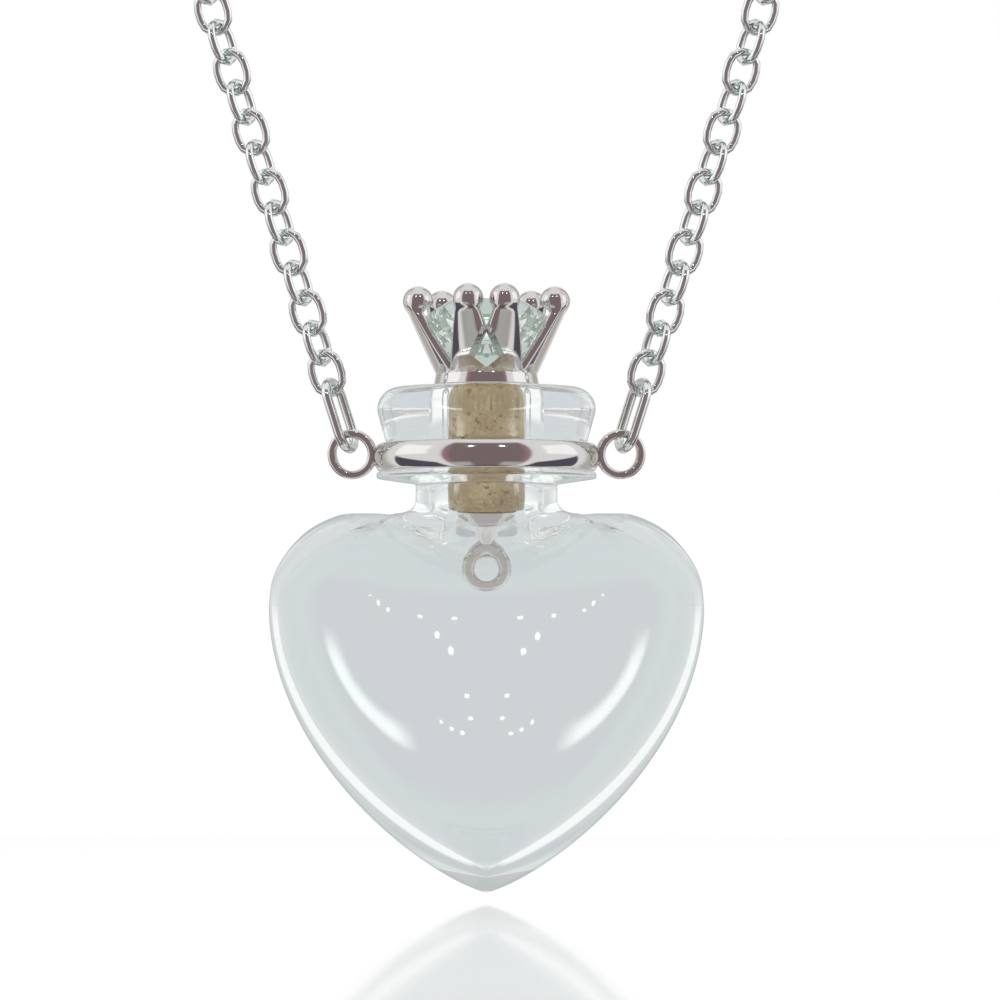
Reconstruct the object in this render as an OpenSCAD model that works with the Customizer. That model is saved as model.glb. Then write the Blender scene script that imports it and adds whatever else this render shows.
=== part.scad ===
// Heart-shaped glass bottle pendant with a crown stopper, worn on a cable chain.
// The front faces -Y and Z points up. The origin is the back of the chain's loop,
// where it lies on the nape. The pendant's own heights count from its neck ring.

/* [Heart bottle] */
// Width of the heart from side to side
heart_w = 26.1; // [24:0.1:32]
// Height of the heart from its tip to its shoulder
heart_h = 22.7; // [20:0.1:28]
// Height of the widest place above the tip
widest_h = 17; // [14:0.1:18]
// Height of the thickest place above the tip
belly_h = 13; // [10:0.1:13.5]
// Thickness of the heart from front to back
heart_d = 12.4; // [11:0.1:16]
// Thickness of the glass in the lobes and shoulders
glass_wall = 1; // [0.8:0.1:1.3]
// Thickness of the glass at the tip
tip_wall = 2.4; // [1.2:0.1:3]

/* [Neck and rim] */
// Outside diameter of the neck
neck_d = 8.5; // [7.5:0.1:9.5]
// Height of the neck between the shoulder and the lip
neck_h = 2.1; // [1.5:0.1:4]
// Height of the blend from the shoulder into the neck
neck_blend = 0.7; // [0.4:0.1:1.2]
// Diameter of the bore that takes the cork
bore_d = 4.7; // [4.2:0.1:5.2]
// Height of the bell where the bore opens into the heart
bell_h = 1; // [0.6:0.1:1.4]
// Diameter of the thin lip under the neck ring
lip_d = 13.2; // [12.8:0.1:14.4]
// Thickness of the thin lip at its edge
lip_h = 0.35; // [0.3:0.05:0.8]
// Height of the slope under the thin lip, from its edge in to the neck
lip_slope_h = 0.35; // [0.2:0.05:0.6]
// Diameter of the thick rim above the neck ring
rim_d = 13.1; // [12.8:0.1:14.4]
// Height of the thick rim
rim_h = 3.3; // [2.8:0.05:4]
// Radius of the thick rim's round edge
rim_round = 1.3; // [0.8:0.1:1.4]
// Width of the chamfer round the bore's mouth
mouth_w = 0.25; // [0.1:0.05:0.4]

/* [Neck ring] */
// Outside diameter of the metal band
band_d = 13.6; // [13.4:0.1:14.6]
// Height of the band
band_h = 1.7; // [1.4:0.1:2.4]
// Thickness of the band at its middle
band_wall = 0.7; // [0.5:0.05:1]
// How far the band's face bulges out at its middle
band_bulge = 0.3; // [0.15:0.05:0.4]
// Clearance between the band and the groove in the glass
band_gap = 0.06; // [0.04:0.01:0.12]
// Outside diameter of an eyelet
eyelet_d = 3; // [2.8:0.1:3.6]
// Thickness of an eyelet's wall
eyelet_wall = 0.5; // [0.4:0.05:0.6]
// Width of an eyelet from front to back
eyelet_w = 0.7; // [0.6:0.05:0.75]
// Height of the eyelets' centres above the band's middle
eyelet_rise = 0.2; // [0:0.05:0.3]
// How far an eyelet's front is turned outwards, in degrees
eyelet_yaw = 14; // [10:1:18]
// How far an eyelet's front is tipped downwards, in degrees
eyelet_pitch = 6; // [2:1:7]
// How deep an eyelet is soldered into the band
solder_depth = 0.25; // [0.2:0.05:0.35]

/* [Stopper] */
// Length of the cork
cork_l = 7.7; // [6:0.1:8.5]
// Clearance around the cork in the bore
cork_gap = 0.05; // [0.03:0.01:0.1]
// Diameter of the crown's collar where it sits on the rim
collar_d = 6.4; // [6.2:0.1:7]
// Height of the collar
collar_h = 0.9; // [0.6:0.1:1.4]
// Clearance between the collar and the rim
seat_gap = 0.05; // [0.02:0.01:0.1]
// Height of the prong tips' centres above the collar
prong_h = 4.15; // [3.6:0.05:5]
// Radius of the circle that the prong tips stand on
prong_circle_r = 4.2; // [3.9:0.05:4.6]
// Diameter of a prong's ball tip
tip_d = 1.86; // [1.6:0.02:2.1]
// Width of a prong where it leaves the collar
prong_foot_w = 3.3; // [2.8:0.1:3.4]
// Width of a prong under its ball tip
prong_top_w = 1.4; // [1.2:0.1:1.6]
// Thickness of a prong
prong_t = 0.65; // [0.5:0.05:0.9]
// Width of the kite-shaped window where the two front prongs meet
window_w = 1.8; // [1.2:0.1:2]
// Height of the window
window_h = 1.75; // [1.4:0.05:1.8]
// Height of the metal left between the window and the collar
window_sill = 0.1; // [0.05:0.05:0.2]
// Diameter of the post and of the eye pin's stem inside the cork
stem_d = 0.8; // [0.6:0.05:1]
// Clearance around both in the cork
stem_gap = 0.02; // [0.01:0.01:0.04]
// Length of the crown's post in the cork
post_l = 2.2; // [1.5:0.1:2.8]
// Length of the eye pin's stem in the cork
pin_l = 4; // [2:0.1:4.4]
// Diameter of the eye pin's washer under the cork
washer_d = 3.7; // [3:0.1:3.9]
// Thickness of the washer
washer_t = 1; // [0.6:0.1:1.4]
// Outside diameter of the eye under the washer
eye_d = 2.9; // [2.4:0.1:3.6]
// Thickness of the eye's wire
eye_wire_d = 0.75; // [0.6:0.05:0.9]

/* [Crystal] */
// How far the stone's girdle lies below the centres of the ball tips
girdle_drop = 0.9; // [0.85:0.01:1]
// Diameter of the table
table_d = 4.3; // [3.6:0.1:4.8]
// Height of the stone's upper part, from the girdle to the table
stone_crown_h = 1.05; // [0.8:0.05:1.2]
// Thickness of the girdle
girdle_t = 0.2; // [0.1:0.05:0.3]
// Depth of the stone below its girdle
pavilion_h = 2.9; // [2.4:0.05:2.95]
// Width of the stone's flat foot
stone_foot_d = 4.2; // [3:0.1:4.6]
// Height of the facets round its foot
stone_foot_h = 0.6; // [0.3:0.05:0.8]
// Clearance between the stone and the prongs that hold it
stone_gap = 0.08; // [0.07:0.01:0.12]

/* [Chain] */
// Length of a link
link_l = 3; // [2.8:0.1:3.6]
// Width of a link
link_w = 2.4; // [2.2:0.1:2.8]
// Thickness of a link's wire
wire_d = 0.5; // [0.4:0.05:0.55]
// Length of the larger link in an eyelet
end_link_l = 4.8; // [4.2:0.1:5.2]
// Width of the larger link
end_link_w = 2.7; // [2.6:0.1:3]
// Thickness of the larger link's wire
end_wire_d = 0.6; // [0.5:0.05:0.6]
// Clearance between links
link_gap = 0.1; // [0.1:0.02:0.2]
// Clearance between the larger link and the first small one
end_gap = 0.15; // [0.15:0.01:0.2]
// Clearance between the larger link and the eyelet that hangs in it
hang_gap = 0.35; // [0.32:0.01:0.42]
// How far the chain leans outwards from upright, in degrees
chain_lean = 17.5; // [10:0.5:22]
// Length of the straight stretch above an eyelet
straight_l = 38; // [30:1:45]
// Turn of every second link about the chain, in degrees
turn_a = 25; // [10:1:32]
// Turn of the links between them
turn_b = -57; // [-70:1:-50]
// Turn of the larger link
turn_end = -67; // [-74:1:-65]
// Diameter of the clasp's barrel
clasp_d = 2.8; // [2:0.1:4]
// Outside diameter of the clasp's eyes
clasp_eye_d = 3.2; // [3:0.1:3.6]

/* [Hidden] */
$fn = 64;

// Where the neck ring's centre hangs, in front of and below the nape
PENDANT = [0, -80, -129.2];

// Heights above the neck ring's middle
GROOVE_LO = -band_h / 2 - band_gap;
GROOVE_HI = band_h / 2 + band_gap;
LIP_LO = GROOVE_LO - lip_h;
SHOULDER = LIP_LO - neck_h;
TIP = SHOULDER - heart_h;
RIM_TOP = GROOVE_HI + rim_h;
COLLAR_LO = RIM_TOP + seat_gap;
COLLAR_HI = COLLAR_LO + collar_h;
CORK_LO = COLLAR_LO - cork_l;
TIP_BALL_Z = COLLAR_HI + prong_h;
GIRDLE_HI = TIP_BALL_Z - girdle_drop;
GIRDLE_LO = GIRDLE_HI - girdle_t;
TABLE_Z = GIRDLE_HI + stone_crown_h;
WASHER_LO = CORK_LO - washer_t;

// Radii about the bottle's axis
NECK_R = neck_d / 2;
BORE_R = bore_d / 2;
BAND_IN_R = band_d / 2 - band_wall;
GROOVE_R = BAND_IN_R - band_gap;
EYELET_X = band_d / 2 + eyelet_d / 2 - solder_depth;

// The step that keeps a faceted ring clear of the round neck or bore that it meets
NECK_STEP = 0.03;
BORE_STEP = 0.1;
// Overlap that makes two shapes one solid
BITE = 0.2;

// Columns and rows of the heart's surface
RING_N = 36;
LOW_ROWS = 13;
ROW_STEPS = 3;
// How square a section of the heart is: 2 is an ellipse
SQUARENESS = 2.2;

// The heart above its widest place. A row is a ring around the shoulder:
// its reach to the side, the height there, its reach to the front, the height there.
// Reaches are shares of the way from the neck's radius to the heart's half size.
// Heights are shares of the way to the shoulder, and past 1 shares of the blend.
SHOULDER_ROWS = [
    [1.000, 0.00, 0.90, 0.00],
    [0.976, 0.30, 0.84, 0.12],
    [0.888, 0.57, 0.74, 0.27],
    [0.725, 0.83, 0.60, 0.42],
    [0.500, 0.99, 0.45, 0.55],
    [0.290, 1.00, 0.30, 0.67],
    [0.120, 1.02, 0.16, 0.79],
    [0.035, 1.35, 0.05, 0.90],
    [0.000, 2.00, 0.00, 1.00]
];

// Where the prongs stand round the crown, in degrees from the front
PRONG_AT = [-140, -77, -15, 15, 77, 140];
// A prong leans outwards from its foot on the collar to the outside of its ball tip
PRONG_INSET = 0.15;
PRONG_FOOT_R = collar_d / 2 - PRONG_INSET;
PRONG_LEAN = atan2(prong_circle_r + tip_d / 2 - PRONG_INSET - PRONG_FOOT_R, prong_h);
PRONG_ACROSS = prong_t / cos(PRONG_LEAN);
function prong_face(z) = PRONG_FOOT_R + (z - COLLAR_HI + BITE) * tan(PRONG_LEAN);

// The stone is as wide as the ball tips above it and the prongs' inner faces leave room for
TIP_REACH = sqrt(max(pow(tip_d / 2 + stone_gap, 2) - girdle_drop * girdle_drop, 0));
STONE_R = min(prong_circle_r - TIP_REACH, prong_face(GIRDLE_LO) - PRONG_ACROSS - stone_gap);

// The chain's route behind its straight stretch, on the right, from the nape's origin
ROUTE = [
    [36, -79, -53], [49, -66, -30.5], [54, -44, -14], [48, -18, -5], [33, -2, -1],
    [16, 0, 0], [0, 0, 0], [-16, 0, 0]
];
ROUTE_LEAD = 18;
ROUTE_STEPS = 14;

function unit(v) = v / norm(v);
function sgn_pow(v, p) = sign(v) * pow(abs(v), p);

// A smooth value between b and c on a curve through a, b, c and d
function through(a, b, c, d, t) =
    b + 0.5 * t * (c - a + t * (2 * a - 5 * b + 4 * c - d + t * (3 * (b - c) + d - a)));

// The heart's half width and half depth below its widest place, at share t of that height
function low_reach(t) = pow(1 - pow(1 - t, 1.9), 0.774);
function low_depth(t) = pow(1 - pow(1 - min(t, 1), 2), 0.6);

// The shoulder's rows, made finer by a smooth curve through them
function fine_rows(rows, n) = [
    for (i = [0:len(rows) - 2], k = [1:n])
        through(rows[max(i - 1, 0)], rows[i], rows[i + 1], rows[min(i + 2, len(rows) - 1)], k / n)
];

// One ring of the heart: reach to the side and its height, reach to the front and its height
function ring(w, wz, d, dz, power) = [
    for (i = [0:RING_N - 1])
        let (a = 360 * i / RING_N, c = cos(a), s = sin(a), e = 2 / power)
        [w * sgn_pow(c, e), d * sgn_pow(s, e), wz * c * c + dz * s * s]
];

function heart_rings(w, d, tip, wide, belly, top, throat, blend) = concat(
    [
        for (k = [1:LOW_ROWS])
            let (
                t = pow(k / LOW_ROWS, 1.5),
                z = tip + t * (wide - tip),
                past = max(z - belly, 0) / (wide - belly),
                deep = z < belly ? d * low_depth((z - tip) / (belly - tip))
                    : d - (1 - SHOULDER_ROWS[0][2]) * (d - throat) * past * past
            )
            ring(w * low_reach(t), z, deep, z, SQUARENESS)
    ],
    [
        for (r = fine_rows(SHOULDER_ROWS, ROW_STEPS))
            let (
                wz = wide + min(r[1], 1) * (top - wide) + max(r[1] - 1, 0) * blend,
                dz = wide + min(r[3], 1) * (top - wide) + max(r[3] - 1, 0) * blend
            )
            ring(
                throat + r[0] * (w - throat), wz, throat + r[2] * (d - throat), dz,
                2 + (SQUARENESS - 2) * max(r[0], 0)
            )
    ]
);

// A closed skin over rings, from a point at the bottom to a flat top
module skin(bottom, rings) {
    n = len(rings[0]);
    m = len(rings);
    top = m * n + 1;
    polyhedron(
        points = concat([bottom], [for (r = rings, p = r) p], [[0, 0, rings[m - 1][0].z]]),
        faces = concat(
            [for (i = [0:n - 1]) [0, 1 + i, 1 + (i + 1) % n]],
            [
                for (k = [0:m - 2], i = [0:n - 1])
                    let (a = 1 + k * n + i, b = 1 + k * n + (i + 1) % n)
                    each [[a, a + n, b + n], [a, b + n, b]]
            ],
            [
                for (i = [0:n - 1])
                    [top, 1 + (m - 1) * n + (i + 1) % n, 1 + (m - 1) * n + i]
            ]
        ),
        convexity = 6
    );
}

module heart_outside() {
    skin(
        [0, 0, TIP],
        heart_rings(
            heart_w / 2, heart_d / 2, TIP, TIP + widest_h, TIP + belly_h, SHOULDER,
            NECK_R + NECK_STEP, neck_blend
        )
    );
}

module heart_cavity() {
    skin(
        [0, 0, TIP + tip_wall],
        heart_rings(
            heart_w / 2 - glass_wall, heart_d / 2 - glass_wall, TIP + tip_wall, TIP + widest_h,
            TIP + belly_h, SHOULDER - glass_wall, BORE_R + BORE_STEP, bell_h
        )
    );
}

// The neck's outline: straight neck, round-edged lip, groove for the ring, thick rim
module neck_outline() {
    neck_lo = SHOULDER - BITE;
    lip_r = lip_d / 2 - lip_h / 2;
    rim_r = rim_d / 2 - rim_round;
    rim_z = RIM_TOP - rim_round;
    // The rim's underside runs out to its round edge this many degrees below the middle
    meet = 14;
    translate([0, neck_lo])
        square([NECK_R, GROOVE_HI - neck_lo]);
    polygon([
        [0, LIP_LO], [0, LIP_LO - lip_slope_h], [NECK_R, LIP_LO - lip_slope_h], [lip_r, LIP_LO]
    ]);
    translate([0, LIP_LO])
        square([lip_r, lip_h]);
    translate([lip_r, LIP_LO + lip_h / 2])
        circle(d = lip_h);
    translate([0, GROOVE_LO - BITE])
        square([GROOVE_R, band_h + 2 * band_gap + 2 * BITE]);
    polygon([
        [0, GROOVE_HI], [GROOVE_R, GROOVE_HI],
        [rim_r + rim_round * cos(meet), rim_z - rim_round * sin(meet)], [rim_r, rim_z],
        [rim_r, RIM_TOP], [0, RIM_TOP]
    ]);
    translate([rim_r, rim_z])
        circle(r = rim_round);
}

module bottle() {
    color("lightcyan", 0.5)
    translate(PENDANT)
    difference() {
        union() {
            heart_outside();
            rotate_extrude()
                neck_outline();
        }
        heart_cavity();
        translate([0, 0, SHOULDER - glass_wall - BITE])
            cylinder(r = BORE_R, h = RIM_TOP - SHOULDER + glass_wall + 2 * BITE);
        translate([0, 0, RIM_TOP - mouth_w])
            cylinder(r1 = BORE_R, r2 = BORE_R + 2 * mouth_w, h = 2 * mouth_w);
    }
}

// The band is flat inside and bulges outside; an eyelet is soldered on each side
module neck_ring() {
    half = band_h / 2;
    bulge_r = (half * half + band_bulge * band_bulge) / (2 * band_bulge);
    color("silver")
    translate(PENDANT)
    difference() {
        union() {
            rotate_extrude()
                intersection() {
                    translate([BAND_IN_R, -half])
                        square([band_wall, band_h]);
                    translate([band_d / 2 - bulge_r, 0])
                        circle(r = bulge_r);
                }
            for (side = [-1, 1])
                eyelet_place(side)
                    cylinder(d = eyelet_d, h = eyelet_w, center = true);
        }
        for (side = [-1, 1])
            eyelet_place(side)
                cylinder(d = eyelet_d - 2 * eyelet_wall, h = 2 * eyelet_w, center = true);
    }
}

module eyelet_place(side) {
    translate([side * EYELET_X, 0, eyelet_rise])
        rotate([90 + eyelet_pitch, 0, side * eyelet_yaw])
            children();
}

module cork() {
    hole_d = stem_d + 2 * stem_gap;
    color("burlywood")
    translate(PENDANT)
    translate([0, 0, CORK_LO])
    difference() {
        cylinder(r = BORE_R - cork_gap, h = cork_l);
        translate([0, 0, cork_l - post_l - stem_gap])
            cylinder(d = hole_d, h = post_l + 1);
        translate([0, 0, -1])
            cylinder(d = hole_d, h = pin_l + stem_gap + 1);
    }
}

// One prong: a slice of the flared shell that narrows upwards under a ball tip
module prong() {
    foot_z = COLLAR_HI - BITE;
    top_z = TIP_BALL_Z - tip_d / 4;
    top_r = prong_face(top_z);
    intersection() {
        rotate_extrude()
            polygon([
                [PRONG_FOOT_R, foot_z], [top_r, top_z], [prong_circle_r, TIP_BALL_Z],
                [top_r - PRONG_ACROSS, top_z], [PRONG_FOOT_R - PRONG_ACROSS, foot_z]
            ]);
        rotate([90, 0, 0])
            linear_extrude(2 * prong_circle_r)
                polygon([
                    [-prong_foot_w / 2, foot_z - 1], [prong_foot_w / 2, foot_z - 1],
                    [prong_foot_w / 2, foot_z + BITE], [prong_top_w / 2, top_z],
                    [prong_top_w / 2, TIP_BALL_Z + 1], [-prong_top_w / 2, TIP_BALL_Z + 1],
                    [-prong_top_w / 2, top_z], [-prong_foot_w / 2, foot_z + BITE]
                ]);
    }
    translate([0, -prong_circle_r, TIP_BALL_Z])
        sphere(d = tip_d);
}

module crown() {
    color("silver")
    translate(PENDANT)
    difference() {
        union() {
            translate([0, 0, COLLAR_LO])
                cylinder(r1 = collar_d / 2, r2 = collar_d / 2 - 0.15, h = collar_h);
            translate([0, 0, COLLAR_LO - post_l])
                cylinder(d = stem_d, h = post_l + BITE);
            for (a = PRONG_AT)
                rotate([0, 0, a])
                    prong();
        }
        front_window();
    }
}

// A kite on end, cut from the stone's room out through the front
module front_window() {
    sill_z = COLLAR_HI + window_sill;
    widest_z = sill_z + 0.4 * window_h;
    rotate([90, 0, 0])
        linear_extrude(2 * prong_circle_r)
            polygon([
                [0, sill_z], [window_w / 2, widest_z], [0, sill_z + window_h],
                [-window_w / 2, widest_z]
            ]);
}

// A deep round stone: each cut is a ring of flat facets, and the girdle is what they leave
module crystal() {
    r = STONE_R;
    table_r = table_d / 2;
    foot_r = stone_foot_d / 2;
    foot_z = GIRDLE_LO - pavilion_h;
    sides = 32;
    step = 360 / sides;
    color("honeydew", 0.6)
    translate(PENDANT)
    intersection() {
        translate([0, 0, foot_z])
            linear_extrude(TABLE_Z - foot_z)
                polygon([for (i = [0:sides - 1]) r * [cos(i * step), sin(i * step)]]);
        cut(0, GIRDLE_HI, r, TABLE_Z, table_r);
        cut(2 * step, GIRDLE_HI, 1.1 * r, TABLE_Z, 0.92 * table_r);
        cut(step, GIRDLE_HI, 0.995 * r, TABLE_Z, 1.14 * table_r);
        cut(3 * step, GIRDLE_HI, 0.995 * r, TABLE_Z, 1.14 * table_r);
        cut(0, GIRDLE_LO, r, foot_z, foot_r);
        cut(2 * step, GIRDLE_LO, r, foot_z, foot_r);
        cut(step, GIRDLE_LO, 0.995 * r, foot_z, 1.04 * foot_r);
        cut(3 * step, GIRDLE_LO, 0.995 * r, foot_z, 1.04 * foot_r);
        cut(2 * step, foot_z + stone_foot_h, 1.1 * foot_r, foot_z, 0.6 * foot_r);
    }
}

// A ring of eight facets through reach r1 at height z1 and reach r2 at height z2.
// It widens past z1 until it clears the rest of the stone.
module cut(turn, z1, r1, z2, r2) {
    n = 8;
    past = 4;
    wide = r1 + past * (r1 - r2) / abs(z2 - z1);
    corner = cos(180 / n);
    up = z2 > z1;
    rotate([0, 0, turn + 180 / n])
        translate([0, 0, up ? z1 - past : z2])
            cylinder(
                r1 = (up ? wide : r2) / corner, r2 = (up ? r2 : wide) / corner,
                h = abs(z2 - z1) + past, $fn = n
            );
}

// The pin's stem goes up into the cork; its washer and eye show below
module eye_pin() {
    ring_r = (eye_d - eye_wire_d) / 2;
    stalk = 0.4;
    eye_z = WASHER_LO - stalk - eye_d / 2;
    color("silver")
    translate(PENDANT)
    union() {
        translate([0, 0, WASHER_LO])
            cylinder(d = stem_d, h = washer_t + pin_l);
        translate([0, 0, WASHER_LO])
            cylinder(d = washer_d, h = washer_t - 0.02);
        translate([0, 0, eye_z + ring_r])
            cylinder(d = eye_wire_d, h = WASHER_LO - eye_z - ring_r + BITE);
        translate([0, 0, eye_z])
            rotate([90, 0, 0])
                rotate_extrude()
                    translate([ring_r, 0])
                        circle(d = eye_wire_d);
    }
}

// A long link, flat in XY: two round ends joined by two short straight wires
module link(l, w, wire) {
    end_r = (w - wire) / 2;
    end_x = l / 2 - wire / 2 - end_r;
    for (turn = [0, 180])
        rotate([0, 0, turn]) {
            translate([end_x, 0, 0])
                rotate([0, 0, -90])
                    rotate_extrude(angle = 180)
                        translate([end_r, 0])
                            circle(d = wire, $fn = 24);
            translate([-end_x, end_r, 0])
                rotate([0, 90, 0])
                    cylinder(d = wire, h = 2 * end_x, $fn = 24);
        }
}

// The chain's route on the right: up from the eyelet, then round to the nape
UP = [sin(chain_lean), 0, cos(chain_lean)];
HOOK = PENDANT + [EYELET_X, 0, eyelet_rise] + (eyelet_d - eyelet_wall) / 2 * UP;
STRAIGHT_END = HOOK + straight_l * UP;
SPLINE = concat([for (k = [-1, 0, 1]) STRAIGHT_END + k * ROUTE_LEAD * UP], ROUTE);

function spline_at(a, b, c, d, t) = (
    pow(1 - t, 3) * a + (3 * t * t * t - 6 * t * t + 4) * b
        + (1 + 3 * t + 3 * t * t - 3 * t * t * t) * c + t * t * t * d
) / 6;

ROUTE_POINTS = concat(
    [HOOK],
    [
        for (i = [0:len(SPLINE) - 4], k = [(i == 0 ? 0 : 1):ROUTE_STEPS])
            spline_at(SPLINE[i], SPLINE[i + 1], SPLINE[i + 2], SPLINE[i + 3], k / ROUTE_STEPS)
    ]
);
ROUTE_AT = [
    for (i = 0, s = 0; i < len(ROUTE_POINTS);
        s = i + 1 < len(ROUTE_POINTS) ? s + norm(ROUTE_POINTS[i + 1] - ROUTE_POINTS[i]) : s,
        i = i + 1)
        s
];
ROUTE_L = ROUTE_AT[len(ROUTE_AT) - 1];
ROUTE_X = [for (i = [0:len(ROUTE_AT) - 1]) [ROUTE_AT[i], ROUTE_POINTS[i].x]];
ROUTE_Y = [for (i = [0:len(ROUTE_AT) - 1]) [ROUTE_AT[i], ROUTE_POINTS[i].y]];
ROUTE_Z = [for (i = [0:len(ROUTE_AT) - 1]) [ROUTE_AT[i], ROUTE_POINTS[i].z]];

function route(s) = [lookup(s, ROUTE_X), lookup(s, ROUTE_Y), lookup(s, ROUTE_Z)];
function along(s) = unit(route(s + 1) - route(s - 1));
function square_to(v, t) = unit(v - (v * t) * t);

// Distances along the route: the larger link, the first small link and the step between links
END_LINK_AT = end_link_l / 2 - end_wire_d - eyelet_wall / 2 - hang_gap;
FIRST_AT = END_LINK_AT + end_link_l / 2 - end_wire_d - end_gap + link_l / 2 - wire_d;
PITCH = link_l - 2 * wire_d - link_gap;
CLASP_ROOM = clasp_eye_d + clasp_d;
LINKS = 1 + floor((ROUTE_L - CLASP_ROOM - FIRST_AT - link_l / 2) / PITCH);
CLASP_EYE_AT = FIRST_AT + (LINKS - 1) * PITCH + link_l / 2 - wire_d - link_gap
    + clasp_eye_d / 2 - wire_d;

// Each link's place: its centre, the way along and a direction square to it that turns smoothly
function places(i, s, side_way) = i > LINKS ? [] :
    let (
        t = along(s),
        n = square_to(side_way, t),
        next = i == LINKS - 1 ? CLASP_EYE_AT : s + PITCH
    )
    concat([[route(s), t, n]], places(i + 1, next, n));
PLACES = places(0, FIRST_AT, [cos(chain_lean), 0, -sin(chain_lean)]);

module at_place(place, turn) {
    t = place[1];
    n = cos(turn) * place[2] + sin(turn) * cross(t, place[2]);
    b = cross(t, n);
    p = place[0];
    multmatrix([[t.x, n.x, b.x, p.x], [t.y, n.y, b.y, p.y], [t.z, n.z, b.z, p.z]])
        children();
}

module end_link() {
    start = [HOOK + END_LINK_AT * UP, UP, [cos(chain_lean), 0, -sin(chain_lean)]];
    color("lightgray")
    at_place(start, turn_end)
        link(end_link_l, end_link_w, end_wire_d);
}

module chain() {
    color("lightgray")
    for (i = [0:LINKS - 1])
        at_place(PLACES[i], i % 2 == 0 ? turn_a : turn_b)
            link(link_l, link_w, wire_d);
}

module end_link_right() { end_link(); }
module end_link_left() { mirror([1, 0, 0]) end_link(); }
module chain_right() { chain(); }
module chain_left() { mirror([1, 0, 0]) chain(); }

// A plain closed barrel behind the neck with an eye at each end for the last link
module clasp() {
    eye_r = (clasp_eye_d - wire_d) / 2;
    eye_x = PLACES[LINKS][0].x;
    barrel = 2 * (eye_x - clasp_eye_d / 2 + wire_d);
    color("lightgray")
    union() {
        rotate([0, 90, 0])
            cylinder(d = clasp_d, h = barrel, center = true);
        for (side = [0, 1])
            mirror([side, 0, 0])
                at_place(PLACES[LINKS], LINKS % 2 == 0 ? turn_a : turn_b)
                    rotate_extrude()
                        translate([eye_r, 0])
                            circle(d = wire_d, $fn = 24);
    }
}

bottle();
neck_ring();
cork();
crown();
crystal();
eye_pin();
end_link_left();
end_link_right();
chain_left();
chain_right();
clasp();
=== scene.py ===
from math import atan2, cos, degrees, pi, radians, sin, sqrt, tan

import bmesh
import bpy
import numpy as np
from mathutils import Matrix, Vector


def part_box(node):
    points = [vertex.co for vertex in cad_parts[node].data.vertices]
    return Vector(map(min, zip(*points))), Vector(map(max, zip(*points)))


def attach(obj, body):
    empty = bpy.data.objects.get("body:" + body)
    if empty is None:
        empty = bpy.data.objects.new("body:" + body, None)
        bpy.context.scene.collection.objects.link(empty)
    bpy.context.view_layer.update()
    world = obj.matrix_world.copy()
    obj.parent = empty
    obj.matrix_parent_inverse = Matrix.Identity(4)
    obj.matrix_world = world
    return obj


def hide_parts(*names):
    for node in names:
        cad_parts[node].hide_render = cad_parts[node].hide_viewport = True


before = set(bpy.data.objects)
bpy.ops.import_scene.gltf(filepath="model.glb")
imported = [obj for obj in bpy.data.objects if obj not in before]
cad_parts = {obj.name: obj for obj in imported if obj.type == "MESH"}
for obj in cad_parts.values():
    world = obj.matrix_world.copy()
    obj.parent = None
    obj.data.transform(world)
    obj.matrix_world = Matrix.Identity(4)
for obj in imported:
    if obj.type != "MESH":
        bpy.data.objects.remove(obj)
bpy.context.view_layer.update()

# The chain: oval links of round stainless wire, each closed and soldered through the one before.
# The chain is drawn from 0.5 mm wire, then tumbled until it is bright all over.
# A larger link of thicker wire joins each end of it to an eyelet of the bottle's ring.
MM = 0.001
LINK_L = 3.0 * MM
LINK_W = 2.4 * MM
LINK_WIRE = 0.5 * MM
END_LINK_L = 4.8 * MM
END_LINK_W = 2.7 * MM
END_LINK_WIRE = 0.6 * MM


def linear(code):
    """An sRGB hex colour such as "#c0c0c0" as linear light."""
    shades = [int(code[k:k + 2], 16) / 255 for k in (1, 3, 5)]
    return [s / 12.92 if s <= 0.04045 else ((s + 0.055) / 1.055) ** 2.4 for s in shades] + [1.0]


def add(tree, kind, inputs=None, **settings):
    """Adds a node. An input is given a value, or the socket that feeds it."""
    node = tree.nodes.new(kind)
    for name, value in settings.items():
        setattr(node, name, value)
    for key, value in (inputs or {}).items():
        if isinstance(value, bpy.types.NodeSocket):
            tree.links.new(value, node.inputs[key])
        else:
            node.inputs[key].default_value = value
    return node


def new_material(name, **surface):
    """A material of one Principled shader with these values, its tree and that shader."""
    material = bpy.data.materials.new(name)
    material.use_nodes = True
    tree = material.node_tree
    shader = tree.nodes["Principled BSDF"]
    for key, value in surface.items():
        shader.inputs[key.replace("_", " ")].default_value = value
    return material, tree, shader


# Polished stainless steel, tumbled or buffed: a mirror with a soft grey body,
# blurred a little by hairline scratches about 0.05 mm apart, drawn as coarse as they show
SCRATCH = 0.05 * MM
BUFFING_WAVE = 1.2 * MM


def buffed_steel(name, colour):
    """Stainless steel of this colour, polished until it mirrors."""
    material, tree, shader = new_material(name, Metallic=1.0, Base_Color=linear(colour))
    where = add(tree, "ShaderNodeTexCoord").outputs["Object"]
    scratches = add(tree, "ShaderNodeTexNoise", {"Vector": where, "Scale": 1 / SCRATCH, "Detail": 2.0})
    waves = add(tree, "ShaderNodeTexNoise", {"Vector": where, "Scale": 1 / BUFFING_WAVE, "Detail": 1.0})
    polish = add(tree, "ShaderNodeMapRange", {
        "Value": waves.outputs["Fac"], "From Min": 0.3, "From Max": 0.7, "To Min": 0.05, "To Max": 0.11
    })
    tree.links.new(polish.outputs["Result"], shader.inputs["Roughness"])
    bump = add(tree, "ShaderNodeBump", {
        "Height": scratches.outputs["Fac"], "Strength": 0.05, "Distance": 0.01 * MM
    })
    tree.links.new(bump.outputs["Normal"], shader.inputs["Normal"])
    return material


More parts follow.
